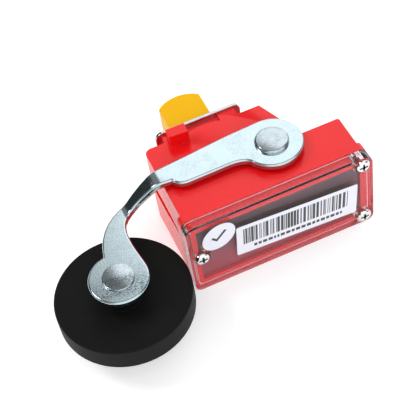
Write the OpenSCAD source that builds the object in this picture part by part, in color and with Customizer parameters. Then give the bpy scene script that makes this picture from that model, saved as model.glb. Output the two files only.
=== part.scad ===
// Limit switch with a roller lever, a clear terminal cover and a reset button.
// Z runs along the lever's pivot, X along the cover's long edge and Y from the
// cover to the reset button. The origin is on the pivot axis, on the underside.

/* [Casing] */
// Height of the casing above its mounting face
body_h = 35.7; // [34:0.1:40]
// Distance from the pivot to the left end face
left_reach = 42.5; // [42:0.1:45]
// Distance from the pivot to the right end face
right_reach = 27.9; // [27:0.1:32]
// Distance from the pivot to the back face
back_reach = 22.3; // [22:0.1:25]
// Thickness of the side, back and shoulder walls
wall = 2.5; // [2:0.1:3]
// Thickness of the mounting wall and of the wall under the lever
thick_wall = 4; // [3.8:0.1:4.5]
// How far the shoulder at the right stands behind the pivot
shoulder_y = 1.6; // [1:0.1:2]
// Where the slanted wall meets the shoulder
slant_x = 12.8; // [12.6:0.1:14]
// How far the slanted wall leans towards the left
slant_run = 8; // [7:0.1:8.2]
// How far the flange under the cover stands out at each end
flange_lip_left = 1.4; // [1:0.1:1.6]
// How far the flange stands out at the right end
flange_lip_right = 2.2; // [1:0.1:2.5]
// Thickness of the flange under the cover
flange_t = 3.6; // [3:0.1:4]

/* [Clear cover] */
// Distance from the pivot to the front of the cover
cover_reach = 21; // [20.5:0.1:22]
// Depth of the cover's rim
cover_depth = 5.1; // [4.8:0.1:5.5]
// Thickness of the cover's window
cover_t = 2; // [1.5:0.1:2.2]
// Thickness of the cover's rim
rim_t = 1.8; // [1.5:0.1:2]
// Corner radius of the cover and of the flange
corner_r = 3; // [2:0.1:3.5]
// Gap between the cover and the frame inside it
cover_gap = 0.2; // [0.1:0.05:0.3]
// Gap between the cover's rim and the flange
rim_gap = 0.06; // [0.02:0.01:0.1]
// Distance of the right cover screws from the cover's right edge
screw_inset_x = 4; // [3.8:0.1:4.5]
// Distance of the right cover screws from the long edges
screw_inset_z = 3.6; // [3.5:0.1:4]
// Distance of the left cover screw from the cover's left edge
left_screw_inset = 4.6; // [4.4:0.1:5]
// Radius of the clear boss around each cover screw
cover_boss_r = 3.5; // [3.3:0.1:3.6]

/* [Labels] */
// Thickness of the stickers
label_t = 0.15; // [0.1:0.05:0.3]
// Length of the bar label
bar_label_w = 48.9; // [30:0.1:49]
// Height of the bar label
bar_label_h = 15.5; // [10:0.1:16]
// Tilt of the bar label
bar_label_tilt = 3.9; // [0:0.1:4.5]
// Long radius of the oval label
oval_r = 7; // [5:0.1:7.2]
// Short radius of the oval label
oval_short_r = 5.8; // [4:0.1:6]
// Tilt of the oval label's long axis
oval_tilt = 40; // [0:1:45]

/* [Reset button] */
// Width of the button
button_w = 17; // [14:0.1:17.4]
// Height of the button
button_h = 20; // [16:0.1:20.4]
// Height of the button's top face above the mounting face
button_top = 32.5; // [32:0.1:32.6]
// Place of the button's middle, across
button_x = -20.3; // [-20.5:0.1:-20]
// Distance from the pivot to the button's crown
button_reach = 45.8; // [40:0.1:48]
// How far the button's end is crowned
button_crown = 3.2; // [2:0.1:4]
// Travel of the button
button_travel = 5; // [3:0.1:5]
// Gap around the button in its guide
button_gap = 0.3; // [0.2:0.05:0.4]

/* [Back plate] */
// Thickness of the steel plate
plate_t = 1.3; // [1:0.1:1.5]
// Width of the steel plate
plate_w = 34.8; // [34:0.1:36]
// Height of the steel plate's upper edge
plate_top = 36.9; // [36:0.1:37.5]
// Height of the steel plate's lower edge
plate_bottom = 4; // [3:0.1:5]
// Place of the plate's middle, across
plate_x = -18.9; // [-19:0.1:-18.5]
// How far the neck carries the plate behind the casing
neck_depth = 3.7; // [3:0.1:4]

/* [Lever] */
// Distance from the pivot to the roller's axle
lever_length = 75; // [75:0.5:90]
// Angle of the roller's axle in front of the lever's straight part
lever_angle = 18.6; // [15:0.1:19]
// Thickness of the lever's plate
lever_t = 3; // [2.5:0.1:3]
// Height of the lever's upper face over the casing
lever_z = 39.7; // [39.6:0.1:41]
// How far the lever steps down towards the roller
joggle_drop = 8.5; // [7:0.1:8.5]
// Where the step down begins, from the pivot
joggle_start = 45; // [44.5:0.1:46]
// Length of the step down
joggle_run = 12.5; // [11:0.1:13]
// Radius of the lever's round end at the pivot
pivot_end_r = 11.7; // [11:0.1:12]
// Radius of the lever's round end at the roller
roller_end_r = 11; // [10:0.1:11]
// Radius of the rivet head over the pivot
pivot_head_r = 6.4; // [5.5:0.1:7]
// Height of the rivet head over the pivot
pivot_head_h = 1.8; // [1.5:0.1:3]
// Radius of the pivot shaft
shaft_r = 4; // [3.5:0.1:4]
// Radius of the shaft's lower journal
journal_r = 3; // [2.5:0.1:3]
// Running clearance of every shaft in its bearing
running_gap = 0.05; // [0.02:0.01:0.08]

/* [Roller] */
// Radius of the roller
roller_r = 25; // [20:0.5:25]
// Thickness of the roller
roller_t = 9.8; // [8:0.1:10]
// Gap between the lever and the roller
roller_drop = 6.3; // [5:0.1:6.5]
// Radius of the roller's bush
hub_r = 8; // [7:0.1:9]
// Radius of the roller's axle
axle_r = 4; // [3:0.1:4]

/* [Contacts] */
// Height of the plunger over the mounting face
plunger_z = 15; // [14.8:0.1:15.2]
// Radius of the plunger
plunger_r = 2.5; // [2:0.1:2.5]
// Lift of the cam for each radian
cam_lift = 4; // [3:0.1:4.2]
// Radius of the cam at rest
cam_r = 8; // [7.5:0.1:8]
// Gap between the cam and the plunger
cam_gap = 0.35; // [0.3:0.05:0.4]
// Open gap of the contact pair that closes as the lever swings forwards
front_contact_gap = 1.8; // [1.7:0.05:2]
// Open gap of the contact pair that closes as the lever swings back
back_contact_gap = 1.5; // [1.45:0.05:1.7]

/* [Mounting] */
// Thread core radius of the mounting inserts, for an M4 screw
mount_r = 1.65; // [1.6:0.05:1.7]
// Depth of the mounting inserts
mount_depth = 7; // [6:0.5:8]
// Radius of the cable hole in the rubber grommet
cable_r = 3; // [2.5:0.1:3.5]

/* [Hidden] */

$fn = 64;
eps = 0.01;

// The casing
flange_y = cover_depth - cover_reach;
left_edge = -left_reach - flange_lip_left;
right_edge = right_reach + flange_lip_right;
lid_t = 1.5;
ledge_w = 1.4;
spigot_h = cover_depth - cover_t - cover_gap;
spigot_y = flange_y - spigot_h;
spigot_inset = rim_t + cover_gap;
cavity_left = -left_reach + wall;
cavity_right = right_reach - wall;
cavity_top = body_h - thick_wall;
slant_rise = back_reach - shoulder_y;
slant_length = norm([slant_run, slant_rise]);
slant_slope = slant_run / slant_rise;
groove_z = 19;
groove_w = 4.4;
groove_depth = 1.5;
groove_start_y = -7.3;
groove_wide_y = 5;
groove_tip_w = 0.6;

// The cover screws, as places on the X and Z axes
SCREW_PLACES = [[right_edge - screw_inset_x, body_h - screw_inset_z],
    [right_edge - screw_inset_x, screw_inset_z],
    [left_edge + left_screw_inset, body_h / 2]];
screw_r = 1.5;
screw_head_r = 2.75;
screw_head_h = 1.9;
screw_length = 9.5;
sink_r = 3;
sink_depth = 1.2;
insert_r = 2.1;
insert_length = 6;
bar_label_x = -1.3;
oval_x = -32;
oval_z = 26.8;
boss_depth = 10;
boss_r = 3.3;
lid_y = spigot_y + 1.3;

// The reset button and the plate around it
neck_y = back_reach + neck_depth;
tunnel_w = button_w + 2 * button_gap;
tunnel_top = button_top + button_gap;
tunnel_bottom = button_top - button_h - button_gap;
button_root_y = 16;
tunnel_start_y = 8;
button_flange_t = 2;
button_flange_lip = 2;
button_flange_drop = 1.4;
plate_corner_r = 3;
plate_screw_x = [-31.7, -7.9];
plate_screw_z = [8.5, 29];
plate_screw_r = 1.25;
plate_screw_head_r = 2.2;
plate_screw_head_h = 1.3;
plate_screw_length = 5;
neck_left = -34;
neck_right = -4.2;
neck_bottom = 5.5;
stop_h = 5.8;
stop_left = -32.8;
stop_right = -25.3;
stop_front = 18.3;
stop_back = 23;
stop_skew = 0.6;
recess_left = -25.3;
recess_right = -11.2;
recess_depth = 1.4;
recess_arc_r = 25;
recess_lip = 1.3;
fork_z = 20.5;
fork_t = 1.5;
fork_left = -16.8;
fork_w = 6;
fork_plate_t = 1.2;
fork_screw_x = -13.8;
FORK_SCREW_Z = [17.6, 25];
fork_screw_r = 0.9;
fork_prong_w = 1.6;
fork_prong_l = 8.6;
fork_beam_w = 1.8;
fork_gap = 0.4;

// The pivot
bush_r = 6;
bush_flange_r = 8;
bush_flange_t = 0.6;
pivot_boss_r = 9;
pivot_boss_drop = 3.5;
seal_t = 1.4;
seal_gap = 0.3;
floor_boss_r = 6;
floor_boss_h = 3.5;
journal_bottom = 2.6;
journal_top = 9;
lever_bottom = lever_z - lever_t;

// The roller
axle_x = -lever_length * cos(lever_angle);
axle_y = -lever_length * sin(lever_angle);
low_z = lever_z - joggle_drop;
low_bottom = low_z - lever_t;
roller_top = low_bottom - roller_drop;
roller_bottom = roller_top - roller_t;
spacer_gap = 0.4;
washer_t = 1;
axle_head_r = 5.9;
axle_head_h = 0.9;
spacer_r = 5.2;
tail_h = 1.5;

// The underside's inserts and the cable entry
MOUNT_PLACES = [[-34, 16], [19, -8]];
mount_insert_r = 3;
mount_boss_r = 4;
mount_boss_cover = 1.5;
entry_x = 20.2;
entry_z = 17.8;
entry_r = 6.2;
entry_lip_r = 7;
entry_bush_r = 4.8;
entry_end_y = shoulder_y - wall - 2;

// The contact set
base_left = cavity_left + 1;
base_right = -10.4;
base_half_depth = 11.5;
base_top = 8;
BASE_SCREWS = [for (x = [-36.6, -12.6], y = [-9, 9]) [x, y]];
base_screw_r = 1.25;
front_bridge_x = -16.5;
back_bridge_x = -30;
bridge_t = 0.8;
bridge_span = 17;
bridge_h = 4;
contact_r = 1.4;
contact_tip_h = 0.6;
contact_y = 6.8;
blade_t = 0.8;
blade_w = 3;
front_blade_x = front_bridge_x - bridge_t / 2 - 2 * contact_tip_h - front_contact_gap - blade_t;
back_blade_x = back_bridge_x + bridge_t / 2 + 2 * contact_tip_h + back_contact_gap;
terminal_y = 8.9;
terminal_r = 1.25;
front_terminal_x = -17.6;
back_terminal_x = -29.6;
washer_thickness = 0.6;
post_t = 2.6;
front_post_x = -14;
back_post_x = -37.8;
post_h = 12;
plunger_end_x = -38.6;
clip_t = 0.6;
clip_lip = 1.4;
shaft_clip_r = 6.4;
clip_x = back_bridge_x - bridge_t / 2 - clip_t - 0.2;
cam_bottom = 12;
cam_top = 18;
cam_hub_r = 6.2;
cam_hub_h = 2.8;
cam_pin_r = 0.9;
cam_pin_z = 10.7;
plunger_tip_x = -cam_r - cam_gap;
spring_x = -23.5;
spring_z = 22.5;
spring_seat_y = 10.4;
spring_end_y = 30;
spring_seat_half_w = 2.3;
spring_seat_t = 2.8;
spring_seat_rise = 3;
spring_bore_r = 2.9;
post_half_w = 4.5;
barrier_t = 1.2;
coil_turns = 4;

// Upright prism with rounded corners, from its low and high corners
module rounded_block(low, high, r) {
    height = high[2] - low[2];
    translate([low[0] + r, low[1], low[2]])
        cube([high[0] - low[0] - 2 * r, high[1] - low[1], height]);
    translate([low[0], low[1] + r, low[2]])
        cube([high[0] - low[0], high[1] - low[1] - 2 * r, height]);
    for (x = [low[0] + r, high[0] - r], y = [low[1] + r, high[1] - r])
        translate([x, y, low[2]])
            cylinder(r = r, h = height);
}

// Block between two corners
module block(low, high) {
    translate(low)
        cube(high - low);
}

// Rounded slab that faces along Y, from X and Z limits and its Y limits
module face_slab(x, z, y, r) {
    translate([0, y[1], 0])
        rotate([90, 0, 0])
            rounded_block([x[0], z[0], 0], [x[1], z[1], y[1] - y[0]], r);
}

// Cylinder along Y between two Y values
module y_rod(x, z, y, r) {
    translate([x, y[1], z])
        rotate([90, 0, 0])
            cylinder(r = r, h = y[1] - y[0]);
}

// Cylinder along X between two X values
module x_rod(x, y, z, r) {
    translate([x[0], y, z])
        rotate([0, 90, 0])
            cylinder(r = r, h = x[1] - x[0]);
}

// Plan of the casing's body, with the slanted wall; inset is the wall left out
module body_plan(inset, front) {
    slant_shift = inset * slant_length / slant_rise;
    shoulder = shoulder_y - inset;
    back = back_reach - inset;
    polygon([
        [-left_reach + inset, front],
        [right_reach - inset, front],
        [right_reach - inset, shoulder],
        [slant_x - slant_shift + inset * slant_slope, shoulder],
        [slant_x - slant_shift - (back - shoulder_y) * slant_slope, back],
        [-left_reach + inset, back]
    ]);
}

// Removes a vertical outside corner beyond radius r; the signs say which corner
module corner_trim(x, y, side_x, side_y, r) {
    translate([x - side_x * r, y - side_y * r, -1])
        difference() {
            translate([side_x > 0 ? 0 : -r - 1, side_y > 0 ? 0 : -r - 1, 0])
                cube([r + 1, r + 1, body_h + 2]);
            translate([0, 0, -1])
                cylinder(r = r, h = body_h + 4);
        }
}

// Body, flange, spigot, neck and stop of the casing before anything is cut
module casing_solid() {
    difference() {
        linear_extrude(body_h)
            body_plan(0, flange_y + eps);
        corner_trim(-left_reach, back_reach, -1, 1, 2.5);
        corner_trim(right_reach, shoulder_y, 1, 1, 1);
    }
    face_slab([left_edge, right_edge], [0, body_h], [flange_y, flange_y + flange_t], corner_r);
    difference() {
        face_slab([left_edge + spigot_inset, right_edge - spigot_inset],
            [spigot_inset, body_h - spigot_inset], [spigot_y, flange_y + eps], corner_r - 1);
        for (place = SCREW_PLACES)
            y_rod(place[0], place[1], [spigot_y - 1, flange_y], cover_boss_r + cover_gap);
    }
    block([neck_left, back_reach - 1, neck_bottom], [neck_right, neck_y, body_h]);
    translate([0, 0, body_h - 1])
        linear_extrude(stop_h + 1)
            polygon([[stop_left, stop_front + stop_skew], [stop_right, stop_front],
                [stop_right, stop_back], [stop_left, stop_back]]);
}

// Hollow of the casing, the lid's pocket and the step that the lid rests on
module casing_hollow() {
    lid_back = lid_y + lid_t;
    translate([0, 0, thick_wall])
        linear_extrude(cavity_top - thick_wall)
            body_plan(wall, lid_back + ledge_w);
    block([cavity_left, spigot_y - 1, thick_wall], [cavity_right, lid_back, cavity_top]);
    block([cavity_left + ledge_w, lid_back - 1, thick_wall + ledge_w],
        [cavity_right - ledge_w, lid_back + ledge_w + 1, cavity_top - ledge_w]);
}

// Bosses inside the casing
module casing_bosses() {
    intersection() {
        for (place = SCREW_PLACES)
            y_rod(place[0], place[1], [flange_y, flange_y + boss_depth], boss_r);
        union() {
            linear_extrude(body_h)
                body_plan(0, flange_y);
            block([left_edge, flange_y, 0], [right_edge, flange_y + flange_t, body_h]);
        }
    }
    translate([0, 0, cavity_top - pivot_boss_drop])
        cylinder(r = pivot_boss_r, h = pivot_boss_drop + 1);
    translate([0, 0, thick_wall - 1])
        cylinder(r = floor_boss_r, h = floor_boss_h + 1);
    for (place = MOUNT_PLACES)
        translate([place[0], place[1], thick_wall - 1])
            cylinder(r = mount_boss_r, h = mount_depth + mount_boss_cover - thick_wall + 1);
}

module housing() {
    color("red")
        difference() {
            union() {
                difference() {
                    casing_solid();
                    casing_hollow();
                }
                casing_bosses();
            }
            // the pivot's bearings
            translate([0, 0, cavity_top - pivot_boss_drop - 1])
                cylinder(r = bush_r, h = body_h);
            translate([0, 0, journal_bottom - 0.3])
                cylinder(r = journal_r + running_gap, h = body_h);
            // the cover's inserts
            for (place = SCREW_PLACES)
                y_rod(place[0], place[1], [flange_y - 1, flange_y + insert_length], insert_r);
            // the mounting inserts
            for (place = MOUNT_PLACES)
                translate([place[0], place[1], -1])
                    cylinder(r = mount_insert_r, h = mount_depth + 1);
            // the button's guide, the plate's screws and the recess over the neck
            block([button_x - tunnel_w / 2, tunnel_start_y, tunnel_bottom],
                [button_x + tunnel_w / 2, neck_y + 1, tunnel_top]);
            for (x = plate_screw_x, z = plate_screw_z)
                y_rod(x, z, [neck_y - plate_screw_length - 0.5, neck_y + 1], plate_screw_r);
            translate([0, 0, body_h - recess_depth])
                linear_extrude(recess_depth + 1)
                    difference() {
                        translate([recess_left, back_reach])
                            square([recess_right - recess_left, neck_depth + 1]);
                        translate([(recess_left + recess_right) / 2,
                            back_reach + recess_lip - recess_arc_r])
                            circle(r = recess_arc_r, $fn = 128);
                    }
            // the cable entry and the groove along the left end
            y_rod(entry_x, entry_z, [entry_end_y - 0.5, shoulder_y + 1], entry_r);
            translate([-left_reach - 1, 0, 0])
                rotate([90, 0, 90])
                    linear_extrude(groove_depth + 1)
                        polygon([[groove_start_y, groove_z + groove_tip_w / 2],
                            [groove_wide_y, groove_z + groove_w / 2],
                            [back_reach + 1, groove_z + groove_w / 2],
                            [back_reach + 1, groove_z - groove_w / 2],
                            [groove_wide_y, groove_z - groove_w / 2],
                            [groove_start_y, groove_z - groove_tip_w / 2]]);
            // the contact base's screws
            for (place = BASE_SCREWS)
                translate([place[0], place[1], 1])
                    cylinder(r = base_screw_r, h = thick_wall);
        }
}

module inner_lid() {
    side_gap = 0.2;
    color("firebrick")
        difference() {
            union() {
                block([cavity_left + side_gap, lid_y, thick_wall + side_gap],
                    [cavity_right - side_gap, lid_y + lid_t, cavity_top - side_gap]);
                // stiffening rib behind the lid
                block([cavity_left + 8, lid_y + lid_t - eps, body_h / 2 - 1],
                    [cavity_right - 8, lid_y + lid_t + 1, body_h / 2 + 1]);
            }
            for (place = SCREW_PLACES)
                y_rod(place[0], place[1], [lid_y - 1, lid_y + lid_t + 1], cover_boss_r + 2 * cover_gap);
        }
}

module cover() {
    rim_end = flange_y - rim_gap;
    color("lightpink", 0.4)
        difference() {
            union() {
                difference() {
                    face_slab([left_edge, right_edge], [0, body_h], [-cover_reach, rim_end], corner_r);
                    face_slab([left_edge + rim_t, right_edge - rim_t], [rim_t, body_h - rim_t],
                        [cover_t - cover_reach, rim_end + 1], corner_r - 1);
                }
                intersection() {
                    for (place = SCREW_PLACES)
                        y_rod(place[0], place[1], [cover_t - cover_reach - 1, rim_end], cover_boss_r);
                    face_slab([left_edge, right_edge], [0, body_h], [-cover_reach, rim_end], corner_r);
                }
            }
            for (place = SCREW_PLACES) {
                y_rod(place[0], place[1], [-cover_reach - 1, flange_y + 1], screw_r + 0.1);
                y_rod(place[0], place[1], [-cover_reach - 1, sink_depth - cover_reach], sink_r);
            }
        }
}

// Pan-head screw along +Y: its head's underside is at the origin
module pan_screw(r, head_r, head_h, length) {
    edge = head_h * 0.6;
    slot_w = head_r * 0.28;
    slot_l = head_r * 1.15;
    rotate([90, 0, 0])
        difference() {
            union() {
                rotate_extrude()
                    polygon(concat([[0, 0], [head_r, 0], [head_r, head_h - edge - 0.3]],
                        [for (a = [10 : 20 : 90])
                            [head_r - edge + edge * cos(a), head_h - edge + edge * sin(a)]],
                        [[0, head_h + 0.15]]));
                translate([0, 0, -length])
                    cylinder(r = r, h = length + eps);
            }
            for (turn = [0, 90])
                rotate([0, 0, turn])
                    translate([-slot_l / 2, -slot_w / 2, head_h * 0.35])
                        cube([slot_l, slot_w, head_h]);
        }
}

module cover_screws() {
    color("silver")
        for (place = SCREW_PLACES)
            translate([place[0], sink_depth - cover_reach, place[1]])
                pan_screw(screw_r, screw_head_r, screw_head_h, screw_length);
}

module cover_inserts() {
    color("goldenrod")
        for (place = SCREW_PLACES)
            difference() {
                y_rod(place[0], place[1], [flange_y, flange_y + insert_length], insert_r);
                y_rod(place[0], place[1], [flange_y - 1, flange_y + insert_length + 1], screw_r);
            }
}

module bar_label() {
    color("white")
        translate([bar_label_x, -cover_reach, body_h / 2])
            rotate([90, bar_label_tilt, 0])
                rounded_block([-bar_label_w / 2, -bar_label_h / 2, 0],
                    [bar_label_w / 2, bar_label_h / 2, label_t], 0.8);
}

module oval_label() {
    color("white")
        translate([oval_x, -cover_reach, oval_z])
            rotate([90, -oval_tilt, 0])
                linear_extrude(label_t)
                    polygon([for (a = [0 : 6 : 354]) [oval_r * cos(a), oval_short_r * sin(a)]]);
}

module back_plate() {
    window_gap = 0.15;
    color("lightgray")
        difference() {
            face_slab([plate_x - plate_w / 2, plate_x + plate_w / 2], [plate_bottom, plate_top],
                [neck_y, neck_y + plate_t], plate_corner_r);
            block([button_x - tunnel_w / 2 - window_gap, neck_y - 1, tunnel_bottom - window_gap],
                [button_x + tunnel_w / 2 + window_gap, neck_y + plate_t + 1, tunnel_top + window_gap]);
            for (x = plate_screw_x, z = plate_screw_z)
                y_rod(x, z, [neck_y - 1, neck_y + plate_t + 1], plate_screw_r + 0.1);
        }
}

module plate_screws() {
    color("gray")
        for (x = plate_screw_x, z = plate_screw_z)
            translate([x, neck_y + plate_t, z])
                rotate([0, 0, 180])
                    pan_screw(plate_screw_r, plate_screw_head_r, plate_screw_head_h,
                        plate_t + plate_screw_length);
}

module shaft_bush() {
    color("tan")
        difference() {
            union() {
                translate([0, 0, cavity_top - pivot_boss_drop + seal_t])
                    cylinder(r = bush_r, h = body_h - cavity_top + pivot_boss_drop - seal_t + eps);
                translate([0, 0, body_h])
                    cylinder(r = bush_flange_r, h = bush_flange_t);
            }
            cylinder(r = shaft_r + running_gap, h = body_h + 5);
        }
}

module shaft_seal() {
    color("dimgray")
        translate([0, 0, cavity_top - pivot_boss_drop])
            difference() {
                cylinder(r = bush_r, h = seal_t);
                translate([0, 0, -1])
                    cylinder(r = shaft_r + seal_gap, h = seal_t + 2);
            }
}

module mount_inserts() {
    color("goldenrod")
        for (place = MOUNT_PLACES)
            translate([place[0], place[1], 0])
                difference() {
                    cylinder(r = mount_insert_r, h = mount_depth);
                    translate([0, 0, -1])
                        cylinder(r = mount_r, h = mount_depth + 2);
                }
}

module entry_bush() {
    lip_t = 1.6;
    color("dimgray")
        difference() {
            union() {
                y_rod(entry_x, entry_z, [entry_end_y, shoulder_y + eps], entry_r);
                y_rod(entry_x, entry_z, [shoulder_y, shoulder_y + lip_t], entry_lip_r);
            }
            y_rod(entry_x, entry_z, [entry_end_y - 1, shoulder_y + lip_t + 1], entry_bush_r);
        }
}

module entry_grommet() {
    color("black")
        difference() {
            y_rod(entry_x, entry_z, [entry_end_y, shoulder_y + 2.4], entry_bush_r);
            y_rod(entry_x, entry_z, [entry_end_y - 1, shoulder_y + 4], cable_r);
        }
}

// Places of the four terminals
function terminal_places() =
    [for (x = [front_terminal_x, back_terminal_x], side = [-1, 1]) [x, side * terminal_y]];

module contact_base() {
    color("saddlebrown")
        difference() {
            union() {
                rounded_block([base_left, -base_half_depth, thick_wall],
                    [base_right, base_half_depth, base_top], 1);
                for (x = [front_post_x, back_post_x])
                    block([x, -post_half_w, base_top - 1], [x + post_t, post_half_w, base_top + post_h]);
                // barriers between the two contact pairs; the rear one seats the button's spring
                block([spring_x - barrier_t / 2, -spring_seat_y, base_top - 1],
                    [spring_x + barrier_t / 2, -post_half_w, base_top + post_h]);
                block([spring_x - spring_seat_half_w, spring_seat_y - spring_seat_t, base_top - 1],
                    [spring_x + spring_seat_half_w, spring_seat_y, spring_z + spring_seat_rise]);
            }
            x_rod([back_post_x - 1, front_post_x + post_t + 1], 0, plunger_z, plunger_r + running_gap);
            for (place = BASE_SCREWS)
                translate([place[0], place[1], thick_wall - 1])
                    cylinder(r = base_screw_r + 0.15, h = base_top);
            for (place = terminal_places())
                translate([place[0], place[1], thick_wall + 0.5])
                    cylinder(r = terminal_r, h = base_top);
        }
}

module base_screws() {
    color("silver")
        for (place = BASE_SCREWS)
            translate([place[0], place[1], base_top])
                rotate([-90, 0, 0])
                    pan_screw(base_screw_r, 2, 1.2, base_top - 1.5);
}

// Pair of fixed contacts: upright blades with silver faces and feet under the terminals.
// foot_side is the side of the blades, along X, on which the feet lie; tip_side is the
// side of the silver faces.
module fixed_pair(blade_x, foot_side, tip_side, terminal_x) {
    foot_end = terminal_x + foot_side * 2.7;
    for (side = [-1, 1])
        difference() {
            union() {
                translate([0, side * contact_y, 0])
                    block([blade_x, -blade_w / 2, base_top],
                        [blade_x + blade_t, blade_w / 2, plunger_z + 2]);
                translate([0, side * (contact_y + 1.2), 0])
                    block([min(blade_x, foot_end), -2.7, base_top],
                        [max(blade_x + blade_t, foot_end), 2.7, base_top + blade_t]);
                x_rod([blade_x - (tip_side < 0 ? contact_tip_h : 0),
                    blade_x + blade_t + (tip_side > 0 ? contact_tip_h : 0)],
                    side * contact_y, plunger_z, contact_r);
            }
            translate([terminal_x, side * terminal_y, base_top - 1])
                cylinder(r = terminal_r + 0.15, h = blade_t + 2);
        }
}

module front_contacts() {
    color("darkgoldenrod")
        fixed_pair(front_blade_x, 1, 1, front_terminal_x);
}

module back_contacts() {
    color("darkgoldenrod")
        fixed_pair(back_blade_x, -1, -1, back_terminal_x);
}

module terminal_screws() {
    screw_z = base_top + blade_t + washer_thickness;
    color("silver")
        for (place = terminal_places())
            translate([place[0], place[1], screw_z])
                rotate([-90, 0, 0])
                    pan_screw(terminal_r, 2, 1.2, screw_z - thick_wall - 0.7);
}

module clamp_washers() {
    half_w = 2.1;
    color("silver")
        for (place = terminal_places())
            translate([place[0], place[1], base_top + blade_t])
                difference() {
                    rounded_block([-half_w, -half_w, 0], [half_w, half_w, washer_thickness], 0.5);
                    translate([0, 0, -1])
                        cylinder(r = terminal_r + 0.15, h = 3);
                }
}

// Points of a cubic curve from a to d, led by b and c, without its first point
function curve(a, b, c, d) =
    [for (i = [1 : 10])
        let (t = i / 10, s = 1 - t)
            s * s * s * a + 3 * s * s * t * b + 3 * s * t * t * c + t * t * t * d];

// Plan of the lever: round ends, a straight part and a crescent down to the roller
module lever_plan() {
    outer = curve([-46, 7.9], [-60, 7.4], [-70.5, 0.5], [-72.6, -12.5]);
    heel = curve([-72.6, -12.5], [-73.5, -14.5], [-77, -14.2], [-79.6, -17.1]);
    inner = curve([-60.1, -22], [-61.6, -12], [-63.6, 0.6], [-54, 1.5]);
    shoulder = curve([-54, 1.5], [-49, 2], [-44, 0.9], [-39.6, 0.8]);
    step = curve([-39.6, 0.8], [-38.4, -1.6], [-36.6, -2.7], [-34, -2.7]);
    waist = curve([-19.9, -2.5], [-14.5, -2.2], [-11.4, -3.2], [-9.4, -6.4]);
    circle(r = pivot_end_r, $fn = 96);
    translate([axle_x, axle_y])
        circle(r = roller_end_r, $fn = 96);
    polygon(concat([[0, pivot_end_r], [-14, 11], [-46, 7.9]], outer, heel,
        [[axle_x, axle_y], [-60.1, -22]], inner, shoulder, step,
        [[-19.9, -2.5]], waist, [[0, 0]]));
}

// Side view of the lever as a closed outline: two level stretches and a bent step between them
module lever_profile() {
    bend_r = 6.5;
    bend_steps = 10;
    half_t = lever_t / 2;
    slope = atan2(joggle_drop, joggle_run);
    tangent = bend_r * tan(slope / 2);
    upper = [tangent - joggle_start, lever_z - half_t - bend_r];
    lower = [-joggle_start - joggle_run - tangent, low_z - half_t + bend_r];
    upper_turn = [for (i = [0 : bend_steps]) 90 + slope * i / bend_steps];
    lower_turn = [for (i = [0 : bend_steps]) 270 + slope * (bend_steps - i) / bend_steps];
    far = -lever_length - 2 * roller_end_r;
    polygon(concat(
        [[2 * pivot_end_r, lever_z]],
        [for (a = upper_turn) upper + (bend_r + half_t) * [cos(a), sin(a)]],
        [for (a = lower_turn) lower + (bend_r - half_t) * [cos(a), sin(a)]],
        [[far, low_z], [far, low_bottom]],
        [for (i = [bend_steps : -1 : 0])
            lower + (bend_r + half_t) * [cos(lower_turn[i]), sin(lower_turn[i])]],
        [for (i = [bend_steps : -1 : 0])
            upper + (bend_r - half_t) * [cos(upper_turn[i]), sin(upper_turn[i])]],
        [[2 * pivot_end_r, lever_bottom]]
    ));
}

module lever_arm() {
    color("lightcyan")
        difference() {
            intersection() {
                translate([0, 0, low_bottom - 1])
                    linear_extrude(lever_z - low_bottom + 2)
                        lever_plan();
                translate([0, lever_length, 0])
                    rotate([90, 0, 0])
                        linear_extrude(2 * lever_length)
                            lever_profile();
            }
            cylinder(r = shaft_r, h = lever_z + 1);
            translate([axle_x, axle_y, 0])
                cylinder(r = axle_r, h = lever_z + 1);
        }
}

// Rivet head that stands on z = 0, with a rounded edge and a crown on top
module rivet_head(r, h) {
    crown = 0.35;
    rim_h = h - crown;
    edge = min(rim_h * 0.7, 1);
    flat_r = r - edge;
    rotate_extrude($fn = 96)
        polygon(concat([[0, 0], [r, 0]],
            [for (a = [0 : 15 : 90]) [flat_r + edge * cos(a), rim_h - edge + edge * sin(a)]],
            [for (i = [5 : -1 : 0]) [flat_r * i / 6, h - crown * pow(i / 6, 2)]]));
}

module pivot_shaft() {
    color("lightgray")
        difference() {
            union() {
                translate([0, 0, journal_bottom])
                    cylinder(r = journal_r, h = journal_top - journal_bottom + eps);
                translate([0, 0, journal_top])
                    cylinder(r = shaft_r, h = lever_z - journal_top + eps);
                translate([0, 0, lever_z])
                    rivet_head(pivot_head_r, pivot_head_h);
            }
            y_rod(0, cam_pin_z, [-shaft_r - 1, shaft_r + 1], cam_pin_r);
        }
}

// Radius of the cam at an angle: a steady lift where the plunger rides, then a fall
// around the rest of the turn
function cam_radius(a) =
    let (low = 156, high = 202, lift = cam_lift * PI / 180, near = cam_r + lift * (180 - high),
        far = cam_r + lift * (180 - low))
    a >= low && a <= high ? cam_r + lift * (180 - a)
        : near + (far - near) * ((a > high ? a : a + 360) - high) / (360 - high + low);

module lever_cam() {
    color("slategray")
        difference() {
            union() {
                translate([0, 0, cam_bottom])
                    linear_extrude(cam_top - cam_bottom)
                        polygon([for (a = [0 : 4 : 356]) cam_radius(a) * [cos(a), sin(a)]]);
                translate([0, 0, cam_bottom - cam_hub_h])
                    cylinder(r = cam_hub_r, h = cam_hub_h + 1);
            }
            cylinder(r = shaft_r, h = body_h);
            y_rod(0, cam_pin_z, [-cam_hub_r - 1, cam_hub_r + 1], cam_pin_r);
        }
}

module cam_pin() {
    color("gray")
        y_rod(0, cam_pin_z, [-cam_hub_r, cam_hub_r], cam_pin_r);
}

module shaft_clip() {
    gap_below_boss = 0.3;
    color("dimgray")
        translate([0, 0, cavity_top - pivot_boss_drop - clip_t - gap_below_boss])
            difference() {
                cylinder(r = shaft_clip_r, h = clip_t);
                translate([0, 0, -1])
                    cylinder(r = shaft_r, h = 3);
                translate([shaft_r - 2, -1, -1])
                    cube([6, 2, 3]);
            }
}

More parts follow.
